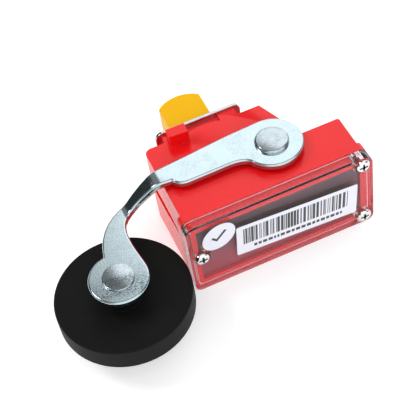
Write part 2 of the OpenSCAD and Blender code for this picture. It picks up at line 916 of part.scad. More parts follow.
// Coil spring along Z from z = 0, as one closed surface swept along a helix
module coil_spring(r, wire_r, length, turns) {
    per_turn = 20;
    sides = 8;
    steps = turns * per_turn;
    rise = (length - 2 * wire_r) / steps;
    points = [for (i = [0 : steps], j = [0 : sides - 1])
        let (a = 360 * i / per_turn, b = 360 * j / sides, reach = r + wire_r * cos(b))
            [reach * cos(a), reach * sin(a), wire_r + rise * i + wire_r * sin(b)]];
    skin = [for (i = [0 : steps - 1], j = [0 : sides - 1])
        let (k = (j + 1) % sides)
            [i * sides + j, i * sides + k, (i + 1) * sides + k, (i + 1) * sides + j]];
    ends = [[for (j = [sides - 1 : -1 : 0]) j], [for (j = [0 : sides - 1]) steps * sides + j]];
    polyhedron(points = points, faces = concat(skin, ends));
}

module return_spring() {
    color("silver")
        translate([0, 0, fork_z + fork_t + 0.8])
            coil_spring(5.3, 0.4, 4.3, coil_turns - 1);
}

module roller_axle() {
    foot = roller_bottom - spacer_gap - washer_t;
    color("lightgray")
        translate([axle_x, axle_y, 0]) {
            translate([0, 0, foot - eps])
                cylinder(r = axle_r, h = low_z - foot + 2 * eps);
            translate([0, 0, low_z])
                rivet_head(axle_head_r, axle_head_h);
            translate([0, 0, foot])
                rotate([180, 0, 0])
                    rivet_head(axle_head_r - 0.6, tail_h);
        }
}

// Ring around the roller's axle
module axle_ring(bottom, top, r, hole_r) {
    translate([axle_x, axle_y, bottom])
        difference() {
            cylinder(r = r, h = top - bottom);
            translate([0, 0, -1])
                cylinder(r = hole_r, h = top - bottom + 2);
        }
}

module axle_spacer() {
    color("dimgray")
        axle_ring(roller_top + spacer_gap, low_bottom, spacer_r, axle_r);
}

module axle_washer() {
    color("silver")
        axle_ring(roller_bottom - spacer_gap - washer_t, roller_bottom - spacer_gap, 6.8, axle_r);
}

module roller_tyre() {
    edge_r = 0.9;
    color([0.12, 0.12, 0.12])
        translate([axle_x, axle_y, roller_bottom])
            rotate_extrude($fn = 128)
                polygon(concat([[hub_r, 0]],
                    [for (a = [-90 : 15 : 0]) [roller_r - edge_r, edge_r] + edge_r * [cos(a), sin(a)]],
                    [for (a = [0 : 15 : 90])
                        [roller_r - edge_r, roller_t - edge_r] + edge_r * [cos(a), sin(a)]],
                    [[hub_r, roller_t]]));
}

module roller_hub() {
    color([0.15, 0.15, 0.16])
        axle_ring(roller_bottom, roller_top, hub_r, axle_r + running_gap);
}

module plunger() {
    color("ivory") {
        x_rod([plunger_end_x, plunger_tip_x - plunger_r], 0, plunger_z, plunger_r);
        translate([plunger_tip_x - plunger_r, 0, plunger_z])
            sphere(r = plunger_r);
    }
}

module contact_bridges() {
    color("goldenrod")
        for (x = [front_bridge_x, back_bridge_x])
            difference() {
                block([x - bridge_t / 2, -bridge_span / 2, plunger_z - bridge_h / 2 - 1],
                    [x + bridge_t / 2, bridge_span / 2, plunger_z + bridge_h / 2 + 1]);
                x_rod([x - 1, x + 1], 0, plunger_z, plunger_r);
            }
}

module bridge_tips() {
    color("whitesmoke")
        for (side = [-1, 1]) {
            x_rod([front_bridge_x - bridge_t / 2 - contact_tip_h, front_bridge_x - bridge_t / 2],
                side * contact_y, plunger_z, contact_r);
            x_rod([back_bridge_x + bridge_t / 2, back_bridge_x + bridge_t / 2 + contact_tip_h],
                side * contact_y, plunger_z, contact_r);
        }
}

module plunger_clip() {
    color("dimgray")
        difference() {
            x_rod([clip_x, clip_x + clip_t], 0, plunger_z, plunger_r + clip_lip);
            x_rod([clip_x - 1, clip_x + clip_t + 1], 0, plunger_z, plunger_r);
        }
}

module plunger_spring() {
    start_x = back_post_x + post_t;
    color("silver")
        translate([start_x, 0, plunger_z])
            rotate([0, 90, 0])
                coil_spring(3.2, 0.3, clip_x - start_x, coil_turns);
}

module reset_button() {
    half_w = button_w / 2;
    low = button_top - button_h;
    side_y = button_reach - button_crown;
    crown_r = (half_w * half_w + button_crown * button_crown) / (2 * button_crown);
    crown_angle = asin(half_w / crown_r);
    color("orange")
        difference() {
            union() {
                translate([button_x, 0, low])
                    linear_extrude(button_h)
                        polygon(concat([[half_w, button_root_y], [half_w, side_y]],
                            [for (i = [-7 : 7]) [0, button_reach - crown_r]
                                - crown_r * [sin(crown_angle * i / 8), -cos(crown_angle * i / 8)]],
                            [[-half_w, side_y], [-half_w, button_root_y]]));
                block([button_x - half_w - button_flange_lip, button_root_y, low - button_flange_drop],
                    [button_x + half_w + button_flange_lip, button_root_y + button_flange_t,
                        cavity_top - button_gap]);
            }
            y_rod(spring_x, spring_z, [button_root_y - 1, spring_end_y], spring_bore_r);
            for (z = FORK_SCREW_Z)
                y_rod(fork_screw_x, z, [button_root_y - 1, button_root_y + 5], fork_screw_r);
        }
}

module reset_fork() {
    fork_slot = shaft_r + fork_gap;
    fork_right = fork_slot + fork_prong_w;
    beam_y = button_travel + fork_slot;
    color("lightgray")
        difference() {
            union() {
                block([fork_left, button_root_y - fork_plate_t, FORK_SCREW_Z[0] - 2.4],
                    [fork_left + fork_w, button_root_y, FORK_SCREW_Z[1] + 2.4]);
                block([fork_left, beam_y, fork_z],
                    [fork_left + fork_w, button_root_y - fork_plate_t / 2, fork_z + fork_t]);
                block([fork_left, beam_y, fork_z], [fork_right, beam_y + fork_beam_w, fork_z + fork_t]);
                for (side = [-1, 1])
                    translate([side * (fork_slot + fork_prong_w / 2), beam_y, fork_z])
                        block([-fork_prong_w / 2, -fork_prong_l, 0], [fork_prong_w / 2, 1, fork_t]);
            }
            for (z = FORK_SCREW_Z)
                y_rod(fork_screw_x, z, [button_root_y - 2, button_root_y + 1], fork_screw_r + 0.1);
        }
}

module fork_screws() {
    color("silver")
        for (z = FORK_SCREW_Z)
            translate([fork_screw_x, button_root_y - fork_plate_t, z])
                pan_screw(fork_screw_r, 1.7, 1, 5);
}

module reset_spring() {
    color("silver")
        translate([spring_x, spring_end_y, spring_z])
            rotate([90, 0, 0])
                coil_spring(2.1, 0.3, spring_end_y - spring_seat_y, 2 * coil_turns + 1);
}

housing();
inner_lid();
cover();
cover_screws();
cover_inserts();
bar_label();
oval_label();
back_plate();
plate_screws();
shaft_bush();
shaft_seal();
mount_inserts();
entry_bush();
entry_grommet();
contact_base();
base_screws();
front_contacts();
back_contacts();
terminal_screws();
clamp_washers();
lever_arm();
pivot_shaft();
lever_cam();
cam_pin();
shaft_clip();
return_spring();
roller_axle();
axle_spacer();
axle_washer();
roller_tyre();
roller_hub();
plunger();
contact_bridges();
bridge_tips();
plunger_clip();
plunger_spring();
reset_button();
reset_fork();
fork_screws();
reset_spring();
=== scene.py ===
# %% [markdown]
# # A limit switch with a roller lever
# A limit switch tells a machine that a gate or a carriage has arrived. A rubber roller
# rides on a bent steel lever, the lever turns a shaft in a red moulded casing, and on the
# real thing that switches a circuit. A yellow button at the back resets it.
# The lesson keeps every shape that the frame gives, because those fit and move, and
# spends its effort on rounded edges, printed labels and believable finishes.

# %% Load the frame
import math
import random

import bmesh
import bpy
from mathutils import Matrix, Vector


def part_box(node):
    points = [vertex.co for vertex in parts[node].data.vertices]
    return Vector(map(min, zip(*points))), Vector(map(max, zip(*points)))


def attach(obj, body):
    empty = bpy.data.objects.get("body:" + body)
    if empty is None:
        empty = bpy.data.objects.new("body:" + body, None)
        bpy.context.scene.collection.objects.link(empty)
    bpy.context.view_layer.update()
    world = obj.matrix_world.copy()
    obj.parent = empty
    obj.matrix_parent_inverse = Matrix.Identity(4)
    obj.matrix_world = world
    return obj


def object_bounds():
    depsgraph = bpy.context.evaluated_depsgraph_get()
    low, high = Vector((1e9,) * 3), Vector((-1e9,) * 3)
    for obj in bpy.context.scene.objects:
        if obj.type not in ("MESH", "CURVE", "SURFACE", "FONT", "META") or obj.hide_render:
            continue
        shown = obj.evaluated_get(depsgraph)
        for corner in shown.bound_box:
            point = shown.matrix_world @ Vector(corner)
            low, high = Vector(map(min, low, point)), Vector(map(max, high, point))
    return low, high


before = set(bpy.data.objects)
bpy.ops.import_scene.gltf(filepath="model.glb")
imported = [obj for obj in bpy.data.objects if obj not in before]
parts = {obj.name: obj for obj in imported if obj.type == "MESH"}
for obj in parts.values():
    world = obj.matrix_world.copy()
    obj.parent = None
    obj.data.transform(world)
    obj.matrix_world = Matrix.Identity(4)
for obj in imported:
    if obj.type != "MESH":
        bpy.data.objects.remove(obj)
cad_low, cad_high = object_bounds()
MM = 0.001
print("frame:", len(parts), "nodes, size", [round(v / MM, 1) for v in cad_high - cad_low], "mm")

# %% [markdown]
# ## Where the viewer stands
# A small object looks true when it is seen from far away through a long lens, so its
# parallel edges stay nearly parallel. The camera could be turned by three angles, but
# it is easier to reason about where it stands on a sphere around the object: how far
# round, how far up, and how much it is rolled about its own line of sight. The lamp
# further down is placed on such a sphere too, so the direction is a function.

# %% Camera
view_round_deg, view_up_deg, view_roll_deg = -15.62, 50.73, -10.21
view_distance = 0.4482
focal_length = 103.23
aim_offset_mm = Vector((4.8, -0.6, -1.8))


def direction_to(round_deg, up_deg):
    """Unit vector to a place on a sphere; round 0 is at the front, up 90 is overhead."""
    around, above = math.radians(round_deg), math.radians(up_deg)
    return Vector((math.sin(around) * math.cos(above), -math.cos(around) * math.cos(above),
                   math.sin(above)))


aim = (cad_low + cad_high) / 2 + aim_offset_mm * MM
toward_viewer = direction_to(view_round_deg, view_up_deg)
lens_data = bpy.data.cameras.new("viewer")
lens_data.lens = focal_length
lens_data.clip_start = 0.01
viewer = bpy.data.objects.new("viewer", lens_data)
bpy.context.scene.collection.objects.link(viewer)
viewer.rotation_mode = "QUATERNION"
viewer.location = aim + toward_viewer * view_distance
facing = (-toward_viewer).to_track_quat("-Z", "Y").to_matrix()
roll = Matrix.Rotation(math.radians(view_roll_deg), 3, "Z")
viewer.rotation_quaternion = (facing @ roll).to_quaternion()
bpy.context.scene.camera = viewer
print("camera stands at", [round(v / MM, 1) for v in viewer.location], "mm")

# %% [markdown]
# ## A pale floor
# A picture for a catalogue is taken on a white table. A large sheet does for the table. It
# could be lit until it turns white, but then the object would burn out with it, so the
# sheet glows a little by itself and still takes a soft shadow. It lies a hair below the
# object, because two faces in one plane would flicker.

# %% Floor
floor_half = 3.0
floor_gap = 0.02 * MM
floor_white, floor_glow = 0.93, 0.42
floor_mesh = bpy.data.meshes.new("table_top")
floor_mesh.from_pydata([(-floor_half, -floor_half, 0), (floor_half, -floor_half, 0),
                        (floor_half, floor_half, 0), (-floor_half, floor_half, 0)], [], [(0, 1, 2, 3)])
floor = bpy.data.objects.new("table_top", floor_mesh)
floor.location.z = cad_low.z - floor_gap
bpy.context.scene.collection.objects.link(floor)
table_paint = bpy.data.materials.new("table_paint")
table_paint.use_nodes = True
paint = table_paint.node_tree.nodes["Principled BSDF"]
paint.inputs["Base Color"].default_value = (floor_white, floor_white, floor_white, 1)
paint.inputs["Roughness"].default_value = 0.9
paint.inputs["Specular IOR Level"].default_value = 0.1
paint.inputs["Emission Color"].default_value = (1, 1, 1, 1)
paint.inputs["Emission Strength"].default_value = floor_glow
floor_mesh.materials.append(table_paint)
print("floor", 2 * floor_half, "m wide")

# %% [markdown]
# ## Helpers for node trees
# Every finish below, and the room too, is a small tree of nodes. Written out in full, each
# tree would take a page and its few numbers would be lost in it. These helpers add a node,
# feed a socket from a number, a colour or another socket, and do the two sums that come
# back all the time: stretching a range and multiplying.

# %% Node helpers
def put(tree, kind, **settings):
    """Adds a node; settings that name a socket fill it, and the rest are node properties."""
    node = tree.nodes.new(kind)
    for key, value in settings.items():
        socket = node.inputs.get(key.replace("_", " "))
        if socket is not None and key[0].isupper():
            socket.default_value = value
        else:
            setattr(node, key, value)
    return node


def feed(tree, socket, value):
    """Fills a socket from another socket, a plain colour or a number."""
    if isinstance(value, bpy.types.NodeSocket):
        tree.links.new(value, socket)
    else:
        socket.default_value = (*value, 1) if isinstance(value, tuple) else value


def ramp(tree, source, start=0.0, end=1.0, low=0.0, high=1.0, shape="LINEAR"):
    """Stretches the range from start to end to that from low to high, and holds its ends."""
    node = put(tree, "ShaderNodeMapRange", From_Min=start, From_Max=end, interpolation_type=shape)
    for label, value in (("Value", source), ("To Min", low), ("To Max", high)):
        feed(tree, node.inputs[label], value)
    return node.outputs["Result"]


def product(tree, first, second):
    """Multiplies two sockets."""
    node = put(tree, "ShaderNodeMath", operation="MULTIPLY")
    tree.links.new(first, node.inputs[0])
    tree.links.new(second, node.inputs[1])
    return node.outputs[0]


print("node helpers ready")

# %% [markdown]
# ## A tent of soft light
# A catalogue picture is lit inside a tent of white cloth. A dark corner in the tent
# matters as much as the lamps: polished metal shows nothing but its surroundings, and a
# wholly white room makes it look like paper. The tent here is grey, with one broad bright
# panel above and behind, so that shadows fall softly towards the viewer, and another in
# front. A black cloth, which is a panel that takes light away, hangs where the bent step
# of the lever looks, and gives it a dark stripe.

# %% Tent
WALL_LEVEL = 0.28
room = bpy.data.worlds.new("white_tent")
room.use_nodes = True
room_tree = room.node_tree
room_tree.nodes.clear()


def panel(direction, inner_deg, outer_deg, level):
    """A soft-edged round panel on the tent's wall, bright, or dark where its level is below 0."""
    sight = put(room_tree, "ShaderNodeTexCoord")
    toward = put(room_tree, "ShaderNodeVectorMath", operation="DOT_PRODUCT")
    toward.inputs[1].default_value = Vector(direction).normalized()
    room_tree.links.new(sight.outputs["Generated"], toward.inputs[0])
    return ramp(room_tree, toward.outputs["Value"], math.cos(math.radians(outer_deg)),
                math.cos(math.radians(inner_deg)), high=level, shape="SMOOTHSTEP")


panels = [panel((0.55, 0.62, 0.56), inner_deg=25, outer_deg=35, level=1.30),
          panel((0.05, -0.80, 0.60), inner_deg=28, outer_deg=55, level=1.1),
          panel((-0.66, 0.64, 0.39), inner_deg=16, outer_deg=30, level=-0.24)]
light = WALL_LEVEL
for cloth in panels:
    total = put(room_tree, "ShaderNodeMath")
    feed(room_tree, total.inputs[0], cloth)
    feed(room_tree, total.inputs[1], light)
    light = total.outputs[0]
shine = put(room_tree, "ShaderNodeBackground", Color=(0.98, 0.99, 1.0, 1))
room_out = put(room_tree, "ShaderNodeOutputWorld")
room_tree.links.new(light, shine.inputs["Strength"])
room_tree.links.new(shine.outputs["Background"], room_out.inputs["Surface"])
bpy.context.scene.world = room
bpy.context.scene.view_settings.view_transform = "Standard"
print("tent with", len(panels), "panels")

# %% [markdown]
# ## One lamp
# Cloth alone gives shadows with no edge at all, and the object seems to float. A small
# square lamp behind and to the side sets it on the table with a firmer shadow. A sun would
# do it as well; a lamp was chosen because its width and distance are easy to picture.

# %% Lamp
lamp_distance, lamp_width, lamp_power = 0.95, 0.32, 2.6
lamp_data = bpy.data.lights.new("side_lamp", "AREA")
lamp_data.size = lamp_width
lamp_data.energy = lamp_power
lamp = bpy.data.objects.new("side_lamp", lamp_data)
toward_lamp = direction_to(238, 50)
lamp.location = aim + toward_lamp * lamp_distance
lamp.rotation_euler = (-toward_lamp).to_track_quat("-Z", "Y").to_euler()
bpy.context.scene.collection.objects.link(lamp)
print("lamp stands at", [round(v / MM) for v in lamp.location], "mm")

# %% [markdown]
# ## Helpers for patterns
# Each finish is a Principled shader fed by small patterns. The patterns are built once as
# node groups, with named inputs, and placed in each material with its own values: that
# keeps the grain of the red plastic and that of the yellow one related. The pattern
# coordinates are the object's own, in metres, so a scale of 1000 is one wave for each
# millimetre.

# %% Pattern helpers
FLOAT, COLOUR = "NodeSocketFloat", "NodeSocketColor"


def new_effect(name, inputs, outputs):
    """An empty node group with named sockets; returns it with its two end nodes."""
    group = bpy.data.node_groups.new(name, "ShaderNodeTree")
    for label, kind, value in inputs:
        socket = group.interface.new_socket(label, in_out="INPUT", socket_type=kind)
        socket.default_value = value
    for label, kind in outputs:
        group.interface.new_socket(label, in_out="OUTPUT", socket_type=kind)
    return group, group.nodes.new("NodeGroupInput"), group.nodes.new("NodeGroupOutput")


def own_texture(tree, kind, scale, **settings):
    """A texture in the object's own coordinates; its scale is a number or a socket."""
    place = put(tree, "ShaderNodeTexCoord")
    texture = put(tree, kind, **settings)
    tree.links.new(place.outputs["Object"], texture.inputs["Vector"])
    feed(tree, texture.inputs["Scale"], scale)
    return texture


def own_noise(tree, scale, **settings):
    """The value of a noise in the object's own coordinates."""
    return own_texture(tree, "ShaderNodeTexNoise", scale, **settings).outputs["Fac"]


def blend_colours(tree, mask, first, second):
    """Mixes two colours by a mask; each colour is a socket or a plain colour."""
    mix = put(tree, "ShaderNodeMix", data_type="RGBA")
    factor, from_colour, to_colour = mix.inputs[0], mix.inputs[6], mix.inputs[7]
    tree.links.new(mask, factor)
    feed(tree, from_colour, first)
    feed(tree, to_colour, second)
    return mix.outputs[2]


print("pattern helpers ready")

# %% [markdown]
# ## The grain of moulded plastic
# Injection-moulded plastic copies the skin of its steel mould: a very fine, even grain,
# with slow clouds where the melt cooled at different speeds. Two noises do this, a fine
# one for height, and a slow one that shifts the colour and the gloss a little.

# %% Effect: moulded skin
moulded_skin, entry, leave = new_effect(
    "moulded_skin",
    [("Colour", COLOUR, (0.5, 0.5, 0.5, 1)), ("Cloud Colour", COLOUR, (0.4, 0.4, 0.4, 1)),
     ("Grain Size", FLOAT, 2600.0), ("Gloss Low", FLOAT, 0.25), ("Gloss High", FLOAT, 0.4)],
    [("Colour", COLOUR), ("Roughness", FLOAT), ("Height", FLOAT)])
grain = own_noise(moulded_skin, entry.outputs["Grain Size"], Detail=3.0)
cloud = own_noise(moulded_skin, 90.0, Detail=4.0)
clouded = blend_colours(moulded_skin, cloud, entry.outputs["Colour"], entry.outputs["Cloud Colour"])
gloss = ramp(moulded_skin, cloud, low=entry.outputs["Gloss Low"], high=entry.outputs["Gloss High"])
for label, source in (("Colour", clouded), ("Roughness", gloss), ("Height", grain)):
    moulded_skin.links.new(source, leave.inputs[label])
print("moulded_skin:", len(moulded_skin.nodes), "nodes")

# %% [markdown]
# ## Bright zinc plating
# Barrel-plated zinc isn't a mirror. Its crystals give a salt-and-pepper sparkle in
# patches, and the blue passivation leaves a cold tint. Voronoi cells stand for the
# crystals and a noise gathers them in patches; both steer colour and gloss together. A
# second noise is the height of the plating's slight waviness.

# %% Effect: zinc spangle
zinc_spangle, entry, leave = new_effect(
    "zinc_spangle",
    [("Bright", COLOUR, (0.9, 0.95, 0.96, 1)), ("Dull", COLOUR, (0.4, 0.45, 0.48, 1)),
     ("Crystal Size", FLOAT, 2200.0), ("Patch Size", FLOAT, 260.0), ("Dullness", FLOAT, 0.35),
     ("Peel Size", FLOAT, 2400.0), ("Gloss Low", FLOAT, 0.18), ("Gloss High", FLOAT, 0.42)],
    [("Colour", COLOUR), ("Roughness", FLOAT), ("Height", FLOAT)])
crystal = own_texture(zinc_spangle, "ShaderNodeTexVoronoi", entry.outputs["Crystal Size"], feature="F1")
crystal_split = put(zinc_spangle, "ShaderNodeSeparateColor")
zinc_spangle.links.new(crystal.outputs["Color"], crystal_split.inputs[0])
patch = own_noise(zinc_spangle, entry.outputs["Patch Size"], Detail=6.0, Roughness=0.7)
peel = own_noise(zinc_spangle, entry.outputs["Peel Size"], Detail=2.0, Roughness=0.6)
fleck = product(zinc_spangle, crystal_split.outputs[0], ramp(zinc_spangle, patch, 0.42, 0.68))
dulled = product(zinc_spangle, fleck, entry.outputs["Dullness"])
spangled = blend_colours(zinc_spangle, dulled, entry.outputs["Bright"], entry.outputs["Dull"])
gloss = ramp(zinc_spangle, fleck, low=entry.outputs["Gloss Low"], high=entry.outputs["Gloss High"])
for label, source in (("Colour", spangled), ("Roughness", gloss), ("Height", peel)):
    zinc_spangle.links.new(source, leave.inputs[label])
print("zinc_spangle:", len(zinc_spangle.nodes), "nodes")

# %% [markdown]
# ## Worn edges
# Edges rub first, so a worn finish is paler or barer along them. The wear could be painted
# by hand, but it would have to be painted again for each part. The bevel node gives a
# rounded normal near an edge, and where it departs from the true normal there is one.

# %% Effect: edge wear
edge_wear, entry, leave = new_effect(
    "edge_wear", [("Width", FLOAT, 0.0004), ("Amount", FLOAT, 1.0)], [("Mask", FLOAT)])
rounded = put(edge_wear, "ShaderNodeBevel", samples=4)
edge_wear.links.new(entry.outputs["Width"], rounded.inputs["Radius"])
true_face = put(edge_wear, "ShaderNodeNewGeometry")
agreement = put(edge_wear, "ShaderNodeVectorMath", operation="DOT_PRODUCT")
edge_wear.links.new(rounded.outputs["Normal"], agreement.inputs[0])
edge_wear.links.new(true_face.outputs["Normal"], agreement.inputs[1])
near_edge = ramp(edge_wear, agreement.outputs["Value"], 0.995, 0.90)
chipped = ramp(edge_wear, own_noise(edge_wear, 700.0, Detail=5.0), 0.35, 0.6)
worn = product(edge_wear, product(edge_wear, near_edge, chipped), entry.outputs["Amount"])
edge_wear.links.new(worn, leave.inputs["Mask"])
print("edge_wear:", len(edge_wear.nodes), "nodes")

# %% [markdown]
# ## Settled dust
# Dust does the opposite of wear: it lies on faces that look up, in thin uneven specks. The
# height of the true normal says how far a face looks up, and a noise breaks the layer.

# %% Effect: settled dust
settled_dust, entry, leave = new_effect(
    "settled_dust", [("Amount", FLOAT, 0.1), ("Speck Size", FLOAT, 1800.0)], [("Mask", FLOAT)])
true_face = put(settled_dust, "ShaderNodeNewGeometry")
upward = put(settled_dust, "ShaderNodeSeparateXYZ")
settled_dust.links.new(true_face.outputs["Normal"], upward.inputs[0])
lying = ramp(settled_dust, upward.outputs["Z"], 0.3, 1.0)
specks = own_noise(settled_dust, entry.outputs["Speck Size"], Detail=6.0, Roughness=0.75)
fallen = product(settled_dust, lying, ramp(settled_dust, specks, 0.5, 0.75))
settled_dust.links.new(product(settled_dust, fallen, entry.outputs["Amount"]), leave.inputs["Mask"])
print("settled_dust:", len(settled_dust.nodes), "nodes")

# %% [markdown]
# ## Dark hollows
# The cross of a screw head is dark, because little light finds its way in. That shade is painted
# here: ambient occlusion measures how closed a spot is. Only the node's own faces count,
# so that the parts around it don't darken it.

# %% Effect: painted shade in hollows
painted_recess_shade, entry, leave = new_effect("painted_recess_shade", [("Reach", FLOAT, 0.001)], [("Mask", FLOAT)])
openness = put(painted_recess_shade, "ShaderNodeAmbientOcclusion", samples=6, only_local=True)
painted_recess_shade.links.new(entry.outputs["Reach"], openness.inputs["Distance"])
painted_recess_shade.links.new(ramp(painted_recess_shade, openness.outputs["AO"], 0.85, 0.45), leave.inputs["Mask"])
print("painted_recess_shade:", len(painted_recess_shade.nodes), "nodes")

# %% [markdown]
# ## From effects to finishes
# Most finishes need the same wiring: a pattern group for colour, gloss and height, edge
# wear over it, then dust, then painted shade in the hollows. One function wires them, and each
# finish passes only what makes it different. Values that are the same all over, such as
# how strongly a surface reflects, are set on the shader itself.

# %% Finish helper
DUST_COLOUR = (0.72, 0.70, 0.66)


def cover_with(tree, effect, values, under, over):
    """Lays a colour over another where an effect's mask says so."""
    layer = put(tree, "ShaderNodeGroup", node_tree=effect, label=effect.name)
    for label, value in values.items():
        layer.inputs[label].default_value = value
    return blend_colours(tree, layer.outputs["Mask"], under, over)


def new_finish(name, pattern, values, bump=0.0, wear=None, dust=None, hollow=None, **shader):
    """A material from a pattern group; wear is (colour, width in m, amount), dust an amount,
    and hollow (colour, reach in m) of the painted shade in recesses."""
    finish = bpy.data.materials.new(name)
    finish.use_nodes = True
    tree = finish.node_tree
    skin = tree.nodes["Principled BSDF"]
    look = put(tree, "ShaderNodeGroup", node_tree=pattern, label=pattern.name)
    for label, value in values.items():
        feed(tree, look.inputs[label], value)
    colour = look.outputs["Colour"]
    if wear:
        colour = cover_with(tree, edge_wear, {"Width": wear[1], "Amount": wear[2]}, colour, wear[0])
    if dust:
        colour = cover_with(tree, settled_dust, {"Amount": dust}, colour, DUST_COLOUR)
    # Painted shade: recesses are darkened where ambient occlusion finds them closed.
    if hollow:
        colour = cover_with(tree, painted_recess_shade, {"Reach": hollow[1]}, colour, hollow[0])
    tree.links.new(colour, skin.inputs["Base Color"])
    tree.links.new(look.outputs["Roughness"], skin.inputs["Roughness"])
    if bump:
        relief = put(tree, "ShaderNodeBump", Strength=1.0, Distance=bump)
        tree.links.new(look.outputs["Height"], relief.inputs["Height"])
        tree.links.new(relief.outputs["Normal"], skin.inputs["Normal"])
    for socket, value in shader.items():
        skin.inputs[socket.replace("_", " ")].default_value = value
    return finish


print("finish helper ready")

# %% [markdown]
# ## The plastics
# The casing is glossy red plastic, the button a warm yellow one, and the roller black
# rubber: much rougher, with a coarser skin. Rubber is never quite black, and reads as
# rubber only because its sheen is broad and weak. The nylon and phenolic parts inside are
# plain, since they are seen only when the switch is taken apart.

# %% Plastics and rubber
def plastic(name, colour, cloud_colour, gloss=(0.25, 0.35), grain=2600.0, bump=4e-6, **more):
    """A moulded finish: colours are the plastic's own, gloss its range of roughness."""
    return new_finish(name, moulded_skin, {
        "Colour": colour, "Cloud Colour": cloud_colour, "Grain Size": grain,
        "Gloss Low": gloss[0], "Gloss High": gloss[1]}, bump=bump, **more)


casing_red = plastic("casing_red", (0.98, 0.005, 0.008), (0.90, 0.003, 0.005), (0.20, 0.27),
                     wear=((0.95, 0.16, 0.14), 0.0003, 0.35), dust=0.02, Specular_IOR_Level=0.42)
button_yellow = plastic("button_yellow", (1.0, 0.56, 0.004), (0.99, 0.50, 0.003), (0.34, 0.45),
                        grain=1900.0, dust=0.004, Specular_IOR_Level=0.1)
tyre_rubber = plastic("tyre_rubber", (0.0035, 0.004, 0.0035), (0.0075, 0.008, 0.0075),
                      (0.5, 0.62), grain=1500.0, bump=1.2e-5, dust=0.006,
                      wear=((0.03, 0.03, 0.03), 0.0005, 0.4), Specular_IOR_Level=0.1)
seal_rubber = plastic("seal_rubber", (0.016, 0.016, 0.017), (0.025, 0.025, 0.025), (0.5, 0.65),
                      grain=1500.0, bump=1.2e-5)
black_nylon = plastic("black_nylon", (0.02, 0.021, 0.023), (0.03, 0.03, 0.032), (0.3, 0.45))
dark_nylon = plastic("dark_nylon", (0.006, 0.006, 0.007), (0.010, 0.010, 0.011), (0.5, 0.65),
                     Specular_IOR_Level=0.12)
ivory_nylon = plastic("ivory_nylon", (0.72, 0.66, 0.50), (0.66, 0.60, 0.45), (0.3, 0.45))
brown_phenolic = plastic("brown_phenolic", (0.09, 0.035, 0.015), (0.13, 0.05, 0.02), (0.3, 0.5),
                         grain=1200.0, bump=1e-5)
print("plastics ready")

# %% [markdown]
# ## The metals
# The lever is bright zinc with a cold tint. Its rivets are duller and more mottled, as a
# head would be that is struck after plating. Chrome screws reflect almost like a mirror.

# %% Metals
def plated(name, bright, dull, gloss=(0.18, 0.4), crystal=2200.0, patch_size=260.0,
           dullness=0.35, peel=2400.0, bump=4e-6, **more):
    """A metal finish with crystals; peel is the scale of its waviness and bump the waves' height."""
    return new_finish(name, zinc_spangle, {
        "Bright": bright, "Dull": dull, "Crystal Size": crystal, "Patch Size": patch_size,
        "Dullness": dullness, "Peel Size": peel, "Gloss Low": gloss[0], "Gloss High": gloss[1]},
        bump=bump, Metallic=1.0, **more)


lever_zinc = plated("lever_zinc", (0.52, 0.63, 0.66), (0.30, 0.38, 0.43), (0.10, 0.20),
                    crystal=1900.0, patch_size=160.0, dullness=0.5, peel=1700.0, bump=1.7e-5)
rivet_zinc = plated("rivet_zinc", (0.48, 0.55, 0.58), (0.17, 0.21, 0.23), (0.12, 0.26),
                    crystal=2400.0, patch_size=420.0, dullness=0.7, peel=1900.0, bump=2.8e-5)
plate_steel = plated("plate_steel", (0.55, 0.55, 0.56), (0.3, 0.3, 0.32), (0.15, 0.25))
# The chrome's hollow colour is painted shade in the screw crosses.
chrome = plated("chrome", (0.80, 0.81, 0.80), (0.5, 0.5, 0.52), (0.06, 0.14), dullness=0.2,
                bump=1e-6, hollow=((0.01, 0.03, 0.02), 0.0012))
plain_steel = plated("plain_steel", (0.62, 0.62, 0.61), (0.32, 0.32, 0.33), (0.2, 0.35))
brass = plated("brass", (0.83, 0.60, 0.25), (0.55, 0.37, 0.14), (0.2, 0.35))
bronze = plated("bronze", (0.72, 0.48, 0.28), (0.42, 0.26, 0.14), (0.3, 0.45), bump=8e-6)
silver = plated("silver", (0.93, 0.92, 0.88), (0.6, 0.6, 0.58), (0.15, 0.3))
spring_steel = plated("spring_steel", (0.55, 0.56, 0.58), (0.25, 0.26, 0.28), (0.18, 0.3))
print("metals ready")

# %% [markdown]
# ## Dark specks around the axle
# The plating at the roller's end of the lever is dark in specks, in a band across it, where it
# mirrors something dark. That could be dirt, wear or something dark that it mirrors. That
# reflection is painted here: a dark band measured from the axle, broken up by a fine noise,
# over the finish that is there.

# %% Dark specks
axle_low, axle_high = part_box("roller_axle")
axle_middle = (axle_low + axle_high) / 2
band_direction = Vector((-0.15, -1.0, 0))


def paint_dark_reflection(finish, start, middle, end, tint):
    """Paints a dark reflection on a finish in a band; start, middle and end are mm from the axle, towards
    the front.
    """
    tree = finish.node_tree
    skin = tree.nodes["Principled BSDF"]
    place = put(tree, "ShaderNodeTexCoord")
    offset = put(tree, "ShaderNodeVectorMath", operation="SUBTRACT")
    offset.inputs[1].default_value = axle_middle
    tree.links.new(place.outputs["Object"], offset.inputs[0])
    along = put(tree, "ShaderNodeVectorMath", operation="DOT_PRODUCT")
    along.inputs[1].default_value = band_direction.normalized() / MM
    tree.links.new(offset.outputs["Vector"], along.inputs[0])
    begin = ramp(tree, along.outputs["Value"], start, middle, shape="SMOOTHSTEP")
    cease = ramp(tree, along.outputs["Value"], end, middle, shape="SMOOTHSTEP")
    reflection_specks = ramp(tree, own_noise(tree, 1900.0, Detail=4.0, Roughness=0.8), 0.45, 0.58)
    mask = product(tree, product(tree, begin, cease), reflection_specks)
    under = skin.inputs["Base Color"].links[0].from_socket
    tree.links.new(blend_colours(tree, mask, under, tint), skin.inputs["Base Color"])


